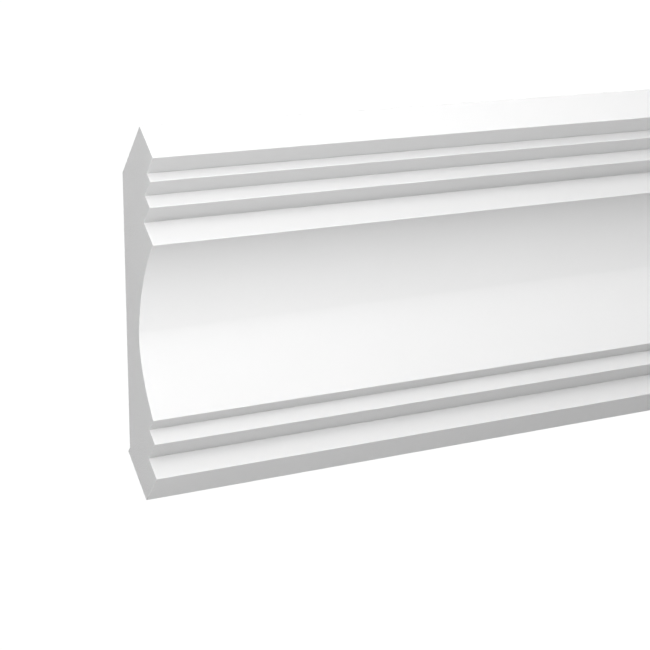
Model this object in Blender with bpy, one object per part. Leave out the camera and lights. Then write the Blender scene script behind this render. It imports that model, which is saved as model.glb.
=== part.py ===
"""A length of stepped and coved cornice moulding, as it sits between a wall and a ceiling.

Metres. +Z is up to the ceiling, +Y is towards the wall, X runs along the length.
The origin is the centre of the upright face that lies on the wall.
"""

import math

import bpy
from mathutils import Vector

# Overall sizes
LENGTH = 1.0
DROP = 0.120
PROJECTION = 0.140

# Faces that bear on the ceiling and on the wall
CEILING_FACE = 0.0333
WALL_FACE = 0.0288
BACK_LEDGE = 0.0034

# Upper steps, from the ceiling down and in towards the wall
TOP_FASCIA = 0.0194
FIRST_SOFFIT = 0.0110
SECOND_FASCIA = 0.0050
SECOND_SOFFIT = 0.0101
THIRD_FASCIA = 0.0073
THIRD_SOFFIT = 0.0111
HEAD_FASCIA = 0.0136

# Lower steps, from the foot of the cove down to the wall
FOOT_SOFFIT = 0.0078
FOOT_FASCIA = 0.0087
LOW_SOFFIT = 0.0122
LOW_FASCIA = 0.0121
BOTTOM_SOFFIT = 0.0199

# The cove is two sweeps that meet at a faint crease. The upper one leaves the head level.
# The end tangents of each sweep meet at its knee. All are shares of the cove's own run and drop.
CREASE_RUN = 0.70
CREASE_DROP = 0.30
UPPER_KNEE_RUN = 0.356
LOWER_KNEE_RUN = 0.896
LOWER_KNEE_DROP = 0.496
SWEEP_SEGMENTS = 28

# Derived heights and depths
ROOM_SIDE = -PROJECTION
FOOT_LEVEL = -WALL_FACE / 2
CEILING_LEVEL = FOOT_LEVEL + DROP
HEAD_DEPTH = ROOM_SIDE + FIRST_SOFFIT + SECOND_SOFFIT + THIRD_SOFFIT
HEAD_LEVEL = CEILING_LEVEL - TOP_FASCIA - SECOND_FASCIA - THIRD_FASCIA - HEAD_FASCIA
COVE_FOOT_DEPTH = -BOTTOM_SOFFIT - LOW_SOFFIT - FOOT_SOFFIT
COVE_FOOT_LEVEL = FOOT_LEVEL + LOW_FASCIA + FOOT_FASCIA

PLASTER_WHITE = (0.88, 0.88, 0.87, 1.0)
PRIMER_ROUGHNESS = 0.55


def clear_scene():
    """Start from an empty file."""
    for item in list(bpy.data.objects):
        bpy.data.objects.remove(item, do_unlink=True)


def new_collection(name):
    """A collection in the scene, for the finished pieces."""
    collection = bpy.data.collections.new(name)
    bpy.context.scene.collection.children.link(collection)
    return collection


def primed_white():
    """Factory primer, white and matt."""
    material = bpy.data.materials.new("primed_white")
    material.use_nodes = True
    shader = material.node_tree.nodes["Principled BSDF"]
    shader.inputs["Base Color"].default_value = PLASTER_WHITE
    shader.inputs["Roughness"].default_value = PRIMER_ROUGHNESS
    return material


def upper_steps():
    """Room-side corners from the ceiling's edge to the head of the cove, as (depth, level)."""
    corners = [(ROOM_SIDE, CEILING_LEVEL)]
    steps = (
        (TOP_FASCIA, FIRST_SOFFIT),
        (SECOND_FASCIA, SECOND_SOFFIT),
        (THIRD_FASCIA, THIRD_SOFFIT),
    )
    for fascia, soffit in steps:
        depth, level = corners[-1]
        corners.append((depth, level - fascia))
        corners.append((depth + soffit, level - fascia))
    return corners


def cove_point(run_share, drop_share):
    """A point of the cove's own box, as (depth, level)."""
    depth = HEAD_DEPTH + run_share * (COVE_FOOT_DEPTH - HEAD_DEPTH)
    level = HEAD_LEVEL - drop_share * (HEAD_LEVEL - COVE_FOOT_LEVEL)
    return Vector((depth, level))


def sweep(start, knee, end):
    """Points of one sweep, both ends included."""
    points = []
    for step in range(SWEEP_SEGMENTS + 1):
        share = step / SWEEP_SEGMENTS
        to_knee = start.lerp(knee, share)
        from_knee = knee.lerp(end, share)
        points.append(tuple(to_knee.lerp(from_knee, share)))
    return points


def cove():
    """Points of the cove from its head to its foot, both ends included."""
    head = cove_point(0.0, 0.0)
    upper_knee = cove_point(UPPER_KNEE_RUN, 0.0)
    crease = cove_point(CREASE_RUN, CREASE_DROP)
    lower_knee = cove_point(LOWER_KNEE_RUN, LOWER_KNEE_DROP)
    foot = cove_point(1.0, 1.0)
    return sweep(head, upper_knee, crease)[:-1] + sweep(crease, lower_knee, foot)


def lower_steps():
    """Corners from the cove's foot down to the foot of the wall face."""
    first_back = COVE_FOOT_DEPTH + FOOT_SOFFIT
    second_back = first_back + LOW_SOFFIT
    mid_level = COVE_FOOT_LEVEL - FOOT_FASCIA
    return [
        (first_back, COVE_FOOT_LEVEL),
        (first_back, mid_level),
        (second_back, mid_level),
        (second_back, FOOT_LEVEL),
        (0.0, FOOT_LEVEL),
    ]


def back():
    """Wall face, the ledge above it and the flat sloping back up to the ceiling face."""
    return [
        (0.0, FOOT_LEVEL + WALL_FACE),
        (-BACK_LEDGE, FOOT_LEVEL + WALL_FACE),
        (ROOM_SIDE + CEILING_FACE, CEILING_LEVEL),
    ]


def section_outline():
    """The whole section, one closed run of corners."""
    return upper_steps() + cove() + lower_steps() + back()


def moulding(collection):
    """The section carried along the length and cut square at both ends."""
    curve = bpy.data.curves.new("cornice_moulding", "CURVE")
    curve.dimensions = "2D"
    curve.fill_mode = "BOTH"
    curve.extrude = LENGTH / 2
    outline = section_outline()
    spline = curve.splines.new("POLY")
    spline.points.add(len(outline) - 1)
    for point, (depth, level) in zip(spline.points, outline):
        point.co = (depth, level, 0.0, 1.0)
    spline.use_cyclic_u = True
    curve.materials.append(primed_white())
    item = bpy.data.objects.new("cornice_moulding", curve)
    item.rotation_euler = (math.pi / 2, 0.0, math.pi / 2)
    collection.objects.link(item)
    return item


def main():
    """Build the moulding in its own collection."""
    clear_scene()
    moulding(new_collection("cornice"))


main()
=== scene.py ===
"""Looks of one length of white cornice moulding, seen from its cut end under soft studio light.

Metres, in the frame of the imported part: +Y to the wall, +Z to the ceiling, X along the length,
with the origin at the centre of the face that lies on the wall.
"""

import logging
import math
from dataclasses import dataclass
from enum import Enum

import bmesh
import bpy
from mathutils import Matrix, Vector


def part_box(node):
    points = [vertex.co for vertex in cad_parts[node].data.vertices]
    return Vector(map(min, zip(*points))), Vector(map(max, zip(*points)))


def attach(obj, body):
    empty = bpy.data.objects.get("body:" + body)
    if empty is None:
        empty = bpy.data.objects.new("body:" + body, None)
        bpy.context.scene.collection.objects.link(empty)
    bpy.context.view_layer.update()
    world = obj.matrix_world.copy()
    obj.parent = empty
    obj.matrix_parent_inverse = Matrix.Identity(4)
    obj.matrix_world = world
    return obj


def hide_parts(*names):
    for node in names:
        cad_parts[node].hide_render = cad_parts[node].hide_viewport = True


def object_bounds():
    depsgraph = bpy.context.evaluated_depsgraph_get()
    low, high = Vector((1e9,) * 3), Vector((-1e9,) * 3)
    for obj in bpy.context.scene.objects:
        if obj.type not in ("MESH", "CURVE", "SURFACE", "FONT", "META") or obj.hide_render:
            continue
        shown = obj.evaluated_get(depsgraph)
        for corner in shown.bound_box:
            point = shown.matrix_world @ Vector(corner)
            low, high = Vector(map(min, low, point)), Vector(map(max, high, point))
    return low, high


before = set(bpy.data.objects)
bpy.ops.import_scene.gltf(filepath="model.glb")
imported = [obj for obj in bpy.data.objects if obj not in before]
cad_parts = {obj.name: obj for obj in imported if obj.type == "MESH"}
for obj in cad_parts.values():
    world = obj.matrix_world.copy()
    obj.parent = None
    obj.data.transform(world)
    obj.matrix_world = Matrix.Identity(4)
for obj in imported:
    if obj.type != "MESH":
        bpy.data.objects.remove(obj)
CAD_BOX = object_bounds()

NODE = "cornice_moulding"
BODY = "root"

Span = tuple[float, float]
Tone = tuple[float, float, float]
WHITE = (1.0, 1.0, 1.0, 1.0)

log = logging.getLogger("cornice")


class Side(Enum):
    """The finish that a face of the moulding takes, by its place in the list of materials."""

    SHOW_FACE = 0
    CUT_END = 1
    BACK = 2


def carried_over(
    tree: bpy.types.NodeTree, value: bpy.types.NodeSocket, source: Span, target: Span
) -> bpy.types.Node:
    """Carry a value from one range to another.

    Args:
        tree: the nodes that it is among.
        value: the value to carry over.
        source: start and end of the range that it has.
        target: what they become.

    Returns:
        The node, with the new value as its Result.
    """
    node = tree.nodes.new("ShaderNodeMapRange")
    for end, before, after in zip(("Min", "Max"), source, target):
        node.inputs[f"From {end}"].default_value = before
        node.inputs[f"To {end}"].default_value = after
    tree.links.new(value, node.inputs["Value"])
    return node


class ShaderGraph:
    """A new node material, with short calls for the nodes that the finishes share."""

    def __init__(self, name: str) -> None:
        """Start from a plain Principled shader.

        Args:
            name: the material's name.
        """
        self.material = bpy.data.materials.new(name)
        self.material.use_nodes = True
        self.tree = self.material.node_tree
        self.shader = self.tree.nodes["Principled BSDF"]
        self.place = self.tree.nodes.new("ShaderNodeTexCoord").outputs["Object"]

    def link(self, source: bpy.types.NodeSocket, target: bpy.types.NodeSocket) -> None:
        """Join two sockets."""
        self.tree.links.new(source, target)

    def fix(self, socket: str, value: float | tuple) -> None:
        """Give one of the shader's sockets a plain value."""
        self.shader.inputs[socket].default_value = value

    def scaled(self, scale: tuple[float, float, float]) -> bpy.types.NodeSocket:
        """Object coordinates for a pattern that is drawn out along an axis.

        Args:
            scale: how much finer the pattern is along X, Y and Z.

        Returns:
            The scaled coordinates.
        """
        mapping = self.tree.nodes.new("ShaderNodeMapping")
        mapping.inputs["Scale"].default_value = scale
        self.link(self.place, mapping.inputs["Vector"])
        return mapping.outputs["Vector"]

    def noise(
        self, size: float, detail: float = 3.0, place: bpy.types.NodeSocket | None = None
    ) -> bpy.types.NodeSocket:
        """Cloudy noise.

        Args:
            size: width of one cloud in metres.
            detail: octaves of finer clouds in it.
            place: coordinates to read in place of the plain Object ones.

        Returns:
            The noise value, from 0 to 1.
        """
        node = self.tree.nodes.new("ShaderNodeTexNoise")
        node.inputs["Scale"].default_value = 1.0 / size
        node.inputs["Detail"].default_value = detail
        self.link(place or self.place, node.inputs["Vector"])
        return node.outputs["Fac"]

    def cells(self, size: float) -> bpy.types.NodeSocket:
        """Distance from the middle of the nearest cell, for bubbles and pinholes.

        Args:
            size: width of one cell in metres.

        Returns:
            The distance, 0 at the middle of a cell.
        """
        node = self.tree.nodes.new("ShaderNodeTexVoronoi")
        node.inputs["Scale"].default_value = 1.0 / size
        self.link(self.place, node.inputs["Vector"])
        return node.outputs["Distance"]

    def spread(
        self, value: bpy.types.NodeSocket, source: Span, target: Span = (0.0, 1.0)
    ) -> bpy.types.NodeSocket:
        """A value carried from one range to another.

        Args:
            value: the value to carry over.
            source: start and end of the range that it has.
            target: what they become.

        Returns:
            The new value.
        """
        return carried_over(self.tree, value, source, target).outputs["Result"]

    def tint(self, value: bpy.types.NodeSocket, dark: Tone, pale: Tone) -> None:
        """Colour the surface between two tones.

        Args:
            value: 0 for the dark tone and 1 for the pale one.
            dark: colour at 0.
            pale: colour at 1.
        """
        mix = self.tree.nodes.new("ShaderNodeMix")
        mix.data_type = "RGBA"
        mix.inputs["A"].default_value = (*dark, 1.0)
        mix.inputs["B"].default_value = (*pale, 1.0)
        self.link(value, mix.inputs["Factor"])
        self.link(mix.outputs["Result"], self.shader.inputs["Base Color"])

    def relief(self, layers: list[tuple[bpy.types.NodeSocket, float]]) -> None:
        """Raise the surface by several patterns, one over the other.

        Args:
            layers: each pattern with its height in metres.
        """
        below = None
        for pattern, height in layers:
            bump = self.tree.nodes.new("ShaderNodeBump")
            bump.inputs["Distance"].default_value = height
            self.link(pattern, bump.inputs["Height"])
            if below is not None:
                self.link(below, bump.inputs["Normal"])
            below = bump.outputs["Normal"]
        self.link(below, self.shader.inputs["Normal"])


@dataclass(frozen=True)
class PrimedFinish:
    """Sprayed white primer on the moulded face: smooth and matt, with a fine mist of grain."""

    pale: Tone = (0.855, 0.855, 0.855)
    dark: Tone = (0.845, 0.845, 0.845)
    cloud: float = 0.045
    cloud_range: Span = (0.3, 0.7)
    roughness: Span = (0.50, 0.60)
    gloss: float = 0.35
    grain: float = 0.0009
    grain_height: float = 0.000012
    wave: float = 0.060
    wave_scale: tuple[float, float, float] = (0.25, 1.0, 1.0)
    wave_detail: float = 1.0
    wave_height: float = 0.00004

    def material(self) -> bpy.types.Material:
        """Make the finish.

        Returns:
            The material.
        """
        graph = ShaderGraph("primed_face")
        graph.fix("Specular IOR Level", self.gloss)
        clouds = graph.noise(self.cloud)
        graph.tint(clouds, self.dark, self.pale)
        roughness = graph.spread(clouds, self.cloud_range, self.roughness)
        graph.link(roughness, graph.shader.inputs["Roughness"])
        waves = graph.noise(self.wave, self.wave_detail, graph.scaled(self.wave_scale))
        graph.relief([(waves, self.wave_height), (graph.noise(self.grain), self.grain_height)])
        return graph.material


@dataclass(frozen=True)
class CutEndFinish:
    """Fine closed foam where the length is sawn off square."""

    pale: Tone = (0.855, 0.855, 0.855)
    dark: Tone = (0.840, 0.840, 0.840)
    roughness: float = 0.75
    gloss: float = 0.2
    cell: float = 0.0009
    cell_wall: Span = (0.15, 0.6)
    cell_height: float = 0.00007
    tooth: float = 0.0022
    tooth_scale: tuple[float, float, float] = (1.0, 0.08, 1.0)
    tooth_detail: float = 2.0
    tooth_height: float = 0.000012

    def material(self) -> bpy.types.Material:
        """Make the finish.

        Returns:
            The material.
        """
        graph = ShaderGraph("sawn_foam")
        graph.fix("Roughness", self.roughness)
        graph.fix("Specular IOR Level", self.gloss)
        cells = graph.spread(graph.cells(self.cell), self.cell_wall)
        graph.tint(cells, self.dark, self.pale)
        strokes = graph.noise(self.tooth, self.tooth_detail, graph.scaled(self.tooth_scale))
        graph.relief([(strokes, self.tooth_height), (cells, self.cell_height)])
        return graph.material


@dataclass(frozen=True)
class BackFinish:
    """The bare moulded back: duller than the face, with flow marks and a few pinholes."""

    pale: Tone = (0.840, 0.840, 0.832)
    dark: Tone = (0.800, 0.800, 0.790)
    roughness: float = 0.7
    gloss: float = 0.25
    flow: float = 0.090
    flow_scale: tuple[float, float, float] = (0.35, 1.0, 1.0)
    flow_detail: float = 5.0
    flow_range: Span = (0.3, 0.7)
    flow_height: float = 0.00015
    hole_spacing: float = 0.013
    hole_rim: Span = (0.04, 0.07)
    hole_height: float = 0.0005

    def material(self) -> bpy.types.Material:
        """Make the finish.

        Returns:
            The material.
        """
        graph = ShaderGraph("bare_back")
        graph.fix("Roughness", self.roughness)
        graph.fix("Specular IOR Level", self.gloss)
        flow = graph.noise(self.flow, self.flow_detail, graph.scaled(self.flow_scale))
        graph.tint(graph.spread(flow, self.flow_range), self.dark, self.pale)
        holes = graph.spread(graph.cells(self.hole_spacing), self.hole_rim)
        graph.relief([(flow, self.flow_height), (holes, self.hole_height)])
        return graph.material


@dataclass(frozen=True)
class Cove:
    """Hollow made of two sweeps that meet at a faint crease, level at its head.

    The end tangents of each sweep meet at its knee. All are shares of the cove's run and drop.
    """

    crease: Span = (0.70, 0.30)
    upper_knee: Span = (0.356, 0.0)
    lower_knee: Span = (0.896, 0.496)
    segments: int = 60

    def sweep(self, start: Vector, knee: Vector, end: Vector) -> list[Vector]:
        """Points of one sweep.

        Args:
            start: its upper end, as (depth, level).
            knee: where the tangents of its two ends meet.
            end: its lower end.

        Returns:
            The points, both ends included.
        """
        shares = [step / self.segments for step in range(self.segments + 1)]
        return [start.lerp(knee, share).lerp(knee.lerp(end, share), share) for share in shares]

    def points(self, head: Vector, foot: Vector) -> list[Vector]:
        """Points of the whole hollow.

        Args:
            head: its upper, room-side end, as (depth, level).
            foot: its lower end, nearer the wall.

        Returns:
            The points from head to foot, both included.
        """
        reach = foot - head
        crease, upper_knee, lower_knee = (
            head + reach * Vector(shares)
            for shares in (self.crease, self.upper_knee, self.lower_knee)
        )
        return self.sweep(head, upper_knee, crease)[:-1] + self.sweep(crease, lower_knee, foot)


@dataclass
class CorniceMoulding:
    """The whole moulding: one section, the same along its length, sawn square at both ends.

    Steps are pairs of sizes: an upright fascia, then the soffit that leads in from its foot.
    A face takes its finish by how far its normal turns to the end, the wall or the ceiling.
    """

    lowest: Vector
    highest: Vector
    upper_steps: tuple[Span, ...] = ((0.0194, 0.0110), (0.0050, 0.0101), (0.0073, 0.0111))
    head_fascia: float = 0.0136
    foot_soffit: float = 0.0078
    lower_steps: tuple[Span, ...] = ((0.0087, 0.0122), (0.0121, 0.0199))
    ceiling_face: float = 0.0333
    wall_face: float = 0.0288
    back_ledge: float = 0.0034
    cove: Cove = Cove()
    arris: float = 0.00035
    glued_arris: float = 0.0001
    arris_segments: int = 4
    saw_break: float = 0.00012
    smooth_angle: float = math.radians(30.0)
    turned_to_end: float = 0.5
    turned_to_wall: float = 0.3
    turned_to_ceiling: float = 0.99

    def upper_corners(self) -> list[Vector]:
        """Corners of the upper steps.

        Returns:
            The corners from the ceiling's edge in to the top of the head fascia.
        """
        corners = [Vector((self.lowest.y, self.highest.z))]
        for fascia, soffit in self.upper_steps:
            top = corners[-1]
            corners.append(top - Vector((0.0, fascia)))
            corners.append(top + Vector((soffit, -fascia)))
        return corners

    def lower_corners(self) -> list[Vector]:
        """Corners of the lower steps.

        Returns:
            The corners from the foot of the wall face out to the foot of the cove, lowest first.
        """
        corners = [Vector((self.highest.y, self.lowest.z))]
        for fascia, soffit in reversed(self.lower_steps):
            below = corners[-1]
            corners.append(below - Vector((soffit, 0.0)))
            corners.append(below + Vector((-soffit, fascia)))
        return corners

    def back_corners(self) -> list[Vector]:
        """Corners of the back.

        Returns:
            The head of the wall face, the foot of the sloping back and the back edge of the
            ceiling face.
        """
        ledge = self.lowest.z + self.wall_face
        return [
            Vector((self.highest.y, ledge)),
            Vector((self.highest.y - self.back_ledge, ledge)),
            Vector((self.lowest.y + self.ceiling_face, self.highest.z)),
        ]

    def back_slope(self) -> float:
        """How steep the sloping back is.

        Returns:
            Its angle to the level in radians.
        """
        _, foot, top = self.back_corners()
        return math.atan2(top.y - foot.y, foot.x - top.x)

    def outline(self) -> tuple[list[Vector], list[Vector]]:
        """The closed outline, in two runs.

        Returns:
            The corners in order from the foot of the cove round the back to its head, and the
            points of the cove between them.
        """
        upper = self.upper_corners()
        lower = self.lower_corners()
        head = upper[-1] - Vector((0.0, self.head_fascia))
        foot = lower[-1] - Vector((self.foot_soffit, 0.0))
        corners = [foot, *reversed(lower), *self.back_corners(), *upper, head]
        return corners, self.cove.points(head, foot)[1:-1]

    def ease(self, shape: bmesh.types.BMesh, corners: list[bmesh.types.BMVert], width: float) -> None:
        """Round off some corners of the section.

        Args:
            shape: the mesh with the section in it.
            corners: the corners to round off.
            width: how far the rounding reaches from each corner.
        """
        bmesh.ops.bevel(
            shape,
            geom=corners,
            offset=width,
            segments=self.arris_segments,
            profile=0.5,
            affect="VERTICES",
            material=-1,
        )

    def section(self, shape: bmesh.types.BMesh) -> None:
        """Lay the section down as one face at the left end, its outward corners eased.

        Args:
            shape: the empty mesh that takes it.
        """
        corners, hollow = self.outline()
        ring = corners + hollow
        points = [shape.verts.new((self.lowest.x, point.x, point.y)) for point in ring]
        shape.faces.new(points)
        glued_corners = [self.lower_corners()[0], *self.back_corners()]
        showing, glued = [], []
        for place, corner in enumerate(corners):
            outward = (corner - ring[place - 1]).cross(ring[place + 1] - corner) > 0.0
            if outward:
                (glued if corner in glued_corners else showing).append(points[place])
        self.ease(shape, showing, self.arris)
        self.ease(shape, glued, self.glued_arris)

    def run_out(self, shape: bmesh.types.BMesh) -> None:
        """Carry the section along the length and break the sawn edges.

        Args:
            shape: the mesh with the section in it.
        """
        grown = bmesh.ops.extrude_face_region(shape, geom=shape.faces[:])
        far_end = [item for item in grown["geom"] if isinstance(item, bmesh.types.BMVert)]
        length = self.highest.x - self.lowest.x
        bmesh.ops.translate(shape, vec=(length, 0.0, 0.0), verts=far_end)
        bmesh.ops.recalc_face_normals(shape, faces=shape.faces[:])
        sawn = [edge for edge in shape.edges if edge.calc_length() < length / 2]
        bmesh.ops.bevel(
            shape,
            geom=sawn,
            offset=self.saw_break,
            segments=1,
            profile=0.5,
            affect="EDGES",
            material=-1,
        )

    def side_of(self, face: bmesh.types.BMFace) -> Side:
        """Which finish a face takes.

        Args:
            face: a face of the finished shape.

        Returns:
            The cut end, the back with the two faces that are glued, or the face that shows.
        """
        if abs(face.normal.x) > self.turned_to_end:
            return Side.CUT_END
        if face.normal.y > self.turned_to_wall or face.normal.z > self.turned_to_ceiling:
            return Side.BACK
        return Side.SHOW_FACE

    def build(self) -> bpy.types.Object:
        """Model the moulding.

        Returns:
            The new object, standing for the CAD node.
        """
        shape = bmesh.new()
        self.section(shape)
        self.run_out(shape)
        for face in shape.faces:
            face.smooth = True
            face.material_index = self.side_of(face).value
        mesh = bpy.data.meshes.new("moulding")
        shape.to_mesh(mesh)
        shape.free()
        mesh.set_sharp_from_angle(angle=self.smooth_angle)
        moulding = bpy.data.objects.new("moulding", mesh)
        flats_first = moulding.modifiers.new("flats_first", "WEIGHTED_NORMAL")
        flats_first.mode = "FACE_AREA"
        flats_first.keep_sharp = True
        bpy.context.scene.collection.objects.link(moulding)
        return moulding

    def dress(self, moulding: bpy.types.Object) -> None:
        """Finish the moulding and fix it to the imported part.

        Args:
            moulding: the object from build.
        """
        finishes = {
            Side.SHOW_FACE: PrimedFinish(),
            Side.CUT_END: CutEndFinish(),
            Side.BACK: BackFinish(),
        }
        for side in Side:
            moulding.data.materials.append(finishes[side].material())
        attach(moulding, BODY)
        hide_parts(NODE)


@dataclass(frozen=True)
class PictureView:
    """The camera, as it looks at the moulding when its sloping back stands upright.

    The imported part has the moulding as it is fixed, so the whole view is turned with it.
    """

    heading: float = math.radians(28.873)
    dip: float = math.radians(14.449)
    tilt: float = math.radians(0.093)
    distance: float = 0.8906
    from_end: float = 0.0938
    from_wall: float = 0.0668
    from_foot: float = 0.0446
    lens: float = 99.04
    sensor: float = 36.0

    def aim(self, cornice: CorniceMoulding) -> Vector:
        """The point that the camera looks at.

        Args:
            cornice: the moulding in its view.

        Returns:
            The point, inside the moulding near its left end.
        """
        corner = Vector((cornice.lowest.x, cornice.highest.y, cornice.lowest.z))
        return corner + Vector((self.from_end, -self.from_wall, self.from_foot))

    def place(self, cornice: CorniceMoulding) -> bpy.types.Object:
        """Set up the camera.

        Args:
            cornice: the moulding that it looks at.

        Returns:
            The camera, made the scene's own.
        """
        lay_back = Matrix.Rotation(math.pi / 2 - cornice.back_slope(), 4, "X")
        turn = Matrix.Rotation(-self.heading, 4, "Z") @ Matrix.Rotation(math.pi / 2 - self.dip, 4, "X")
        look = lay_back @ turn @ Matrix.Rotation(self.tilt, 4, "Z")
        step_back = Matrix.Translation((0.0, 0.0, self.distance))
        data = bpy.data.cameras.new("picture_view")
        data.lens = self.lens
        data.sensor_width = self.sensor
        camera = bpy.data.objects.new("picture_view", data)
        camera.matrix_world = Matrix.Translation(self.aim(cornice)) @ look @ step_back
        bpy.context.scene.collection.objects.link(camera)
        bpy.context.scene.camera = camera
        return camera


@dataclass(frozen=True)
class SoftBox:
    """A square white lamp, aimed at the moulding and out of the camera's sight.

    Heading and height are in degrees: heading 0 is the room side, and -90 the left end's side.
    """

    name: str
    heading: float
    height: float
    distance: float
    width: float
    watts: float

    def place(self, aim: Vector) -> bpy.types.Object:
        """Hang the lamp.

        Args:
            aim: the point that it faces.

        Returns:
            The lamp.
        """
        data = bpy.data.lights.new(self.name, "AREA")
        data.size = self.width
        data.energy = self.watts
        lamp = bpy.data.objects.new(self.name, data)
        heading = math.radians(self.heading)
        height = math.radians(self.height)
        away = Vector(
            (
                math.sin(heading) * math.cos(height),
                -math.cos(heading) * math.cos(height),
                math.sin(height),
            )
        )
        lamp.location = aim + away * self.distance
        lamp.rotation_euler = away.to_track_quat("Z", "Y").to_euler()
        lamp.visible_camera = False
        bpy.context.scene.collection.objects.link(lamp)
        return lamp


@dataclass(frozen=True)
class Studio:
    """A pale floor far below, a soft surround and lamps, which light only what they reach.

    Each lamp has its heading, height, distance, width and watts.
    """

    surround: float = 0.02
    backdrop: Span = (0.63, 1.04)
    backdrop_rise: Span = (0.03, 0.18)
    floor_drop: float = 2.3
    floor_size: float = 60.0
    floor_dark: Tone = (0.86, 0.86, 0.86)
    floor_pale: Tone = (0.88, 0.88, 0.88)
    floor_cloud: float = 0.5
    floor_roughness: float = 0.9
    # painted light on the floor: emission strength near the middle and far off
    floor_painted_light: Span = (0.35, 0.62)
    lamps: tuple[SoftBox, ...] = (
        SoftBox("key", -40.0, -10.0, 1.0, 0.8, 6.5),
        SoftBox("key_low", -40.0, -25.0, 1.0, 0.8, 1.3),
        SoftBox("front_high", -20.0, 35.0, 1.0, 0.8, 3.2),
        SoftBox("end_high", -120.0, 20.0, 1.0, 0.8, 1.5),
        SoftBox("end_low", -80.0, -55.0, 2.2, 1.6, 18.7),
        SoftBox("under", 100.0, -70.0, 2.2, 1.6, 1.2),
        SoftBox("right_front", 50.0, -8.0, 1.25, 0.8, 2.9),
        SoftBox("right_fill", 118.0, 10.0, 2.2, 1.6, 13.5),
        SoftBox("top", 180.0, 80.0, 2.2, 1.6, 30.0),
        SoftBox("back_fill", 200.0, 15.0, 2.2, 1.6, 8.0),
    )

    def surround_light(self) -> None:
        """Faint light all round, and a backdrop that only the camera sees, paler higher up."""
        world = bpy.data.worlds.new("surround")
        world.use_nodes = True
        tree = world.node_tree
        view = tree.nodes.new("ShaderNodeTexCoord").outputs["Generated"]
        upward = tree.nodes.new("ShaderNodeSeparateXYZ")
        tree.links.new(view, upward.inputs["Vector"])
        tone = carried_over(tree, upward.outputs["Z"], self.backdrop_rise, self.backdrop)
        seen = tree.nodes.new("ShaderNodeLightPath").outputs["Is Camera Ray"]
        strength = carried_over(tree, seen, (0.0, 1.0), (self.surround, self.backdrop[1]))
        tree.links.new(tone.outputs["Result"], strength.inputs["To Max"])
        background = tree.nodes["Background"]
        background.inputs["Color"].default_value = WHITE
        tree.links.new(strength.outputs["Result"], background.inputs["Strength"])
        bpy.context.scene.world = world

    def floor_finish(self) -> bpy.types.Material:
        """Pale, with painted light: an emitted glow that grows stronger far off, where it meets the
        backdrop.

        Returns:
            The floor's material.
        """
        graph = ShaderGraph("pale_floor")
        graph.fix("Roughness", self.floor_roughness)
        graph.fix("Emission Color", WHITE)
        graph.tint(graph.noise(self.floor_cloud), self.floor_dark, self.floor_pale)
        # painted light: the floor glows more the farther it lies from the middle, standing in for
        # lamplight
        distance = graph.tree.nodes.new("ShaderNodeVectorMath")
        distance.operation = "LENGTH"
        graph.link(graph.place, distance.inputs[0])
        reach = (self.floor_drop, self.floor_size / 4)
        glow = graph.spread(distance.outputs["Value"], reach, self.floor_painted_light)
        graph.link(glow, graph.shader.inputs["Emission Strength"])
        return graph.material

    def floor(self) -> bpy.types.Object:
        """A wide pale floor, well under the moulding, that throws no light back at it.

        Returns:
            The floor, marked as no part of the object.
        """
        shape = bmesh.new()
        bmesh.ops.create_grid(shape, x_segments=1, y_segments=1, size=self.floor_size / 2)
        bmesh.ops.translate(shape, vec=(0.0, 0.0, -self.floor_drop), verts=shape.verts[:])
        mesh = bpy.data.meshes.new("floor")
        shape.to_mesh(mesh)
        shape.free()
        mesh.materials.append(self.floor_finish())
        floor = bpy.data.objects.new("floor", mesh)
        floor.visible_diffuse = False
        floor.visible_glossy = False
        bpy.context.scene.collection.objects.link(floor)
        return floor

    def set_up(self, aim: Vector) -> None:
        """Make the floor, the surround and the lamps, and keep their light from bouncing.

        Args:
            aim: the point that the lamps face.
        """
        self.surround_light()
        self.floor()
        for lamp in self.lamps:
            lamp.place(aim)
        scene = bpy.context.scene
        scene.cycles.diffuse_bounces = 0
        scene.cycles.glossy_bounces = 0
        scene.view_settings.view_transform = "Standard"
        scene.view_settings.look = "None"


def main() -> None:
    """Build the moulding, the camera and the studio."""
    logging.basicConfig(level=logging.INFO, format="%(name)s: %(message)s")
    cornice = CorniceMoulding(*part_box(NODE))
    moulding = cornice.build()
    cornice.dress(moulding)
    log.info("%s has %d faces", moulding.name, len(moulding.data.polygons))
    camera = PictureView().place(cornice)
    log.info("camera at %s", tuple(round(value, 3) for value in camera.matrix_world.translation))
    studio = Studio()
    studio.set_up((CAD_BOX[0] + CAD_BOX[1]) / 2)
    log.info("studio has %d lamps", len(studio.lamps))


if __name__ == "__main__":
    main()
